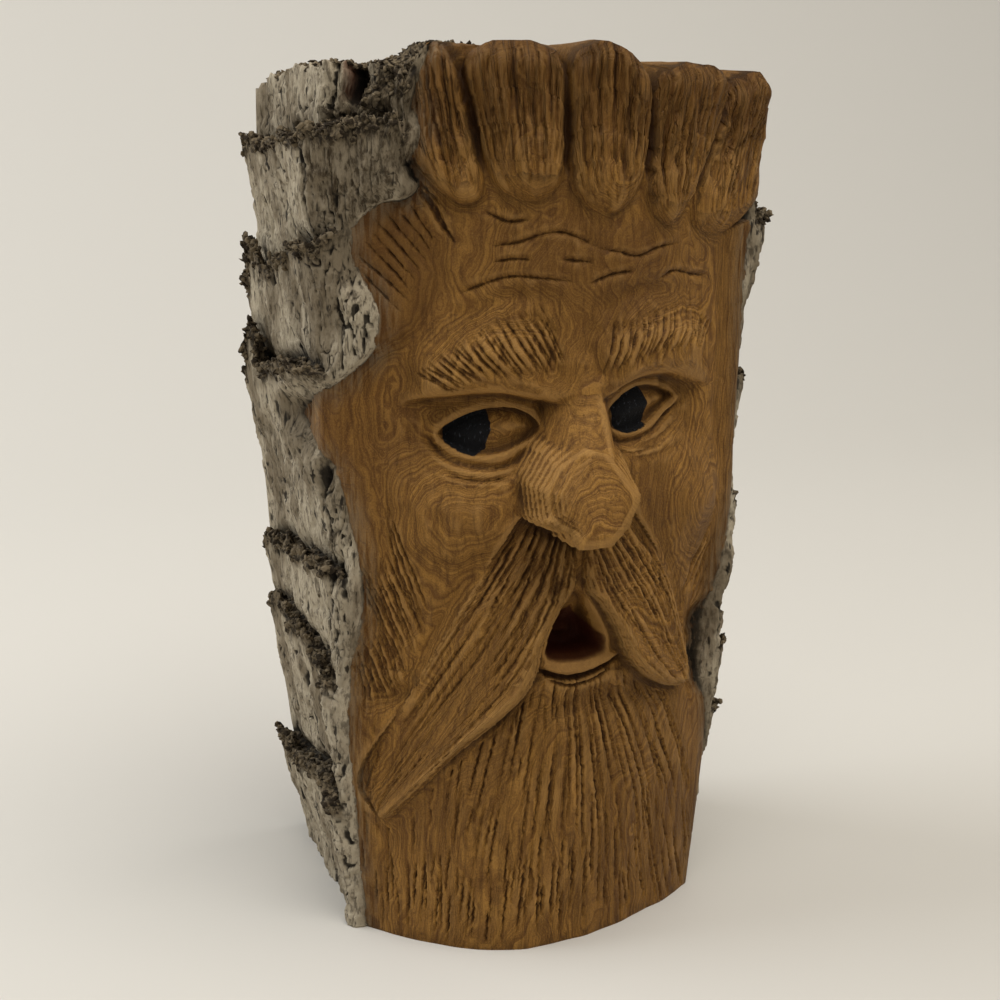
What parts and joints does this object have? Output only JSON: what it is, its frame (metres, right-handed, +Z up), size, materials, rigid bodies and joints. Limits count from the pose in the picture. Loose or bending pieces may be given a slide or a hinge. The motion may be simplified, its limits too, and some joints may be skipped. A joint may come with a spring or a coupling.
{
  "type": "wood sculpture",
  "caption": "Upright slab of thick bark, its outer face carved as a wood spirit: bearded face, big nose, drooping moustache and locks of hair, rough natural bark at the sides",
  "frame": {"origin": "centre of the carving's box, at the height of its flat sawn base", "axes": "+Z up along the slab, -Y out of the carved face, +X to the viewer's right"},
  "size_m": [0.1349, 0.111, 0.2344],
  "materials": {
    "wood_spirit_carving": "knife-carved warm brown bark with a thin clear coat, weathered grey-white natural bark at the sides"
  },
  "bodies": {
    "root": {"wood_spirit_carving": "wood_spirit_carving"}
  },
  "joints": []
}
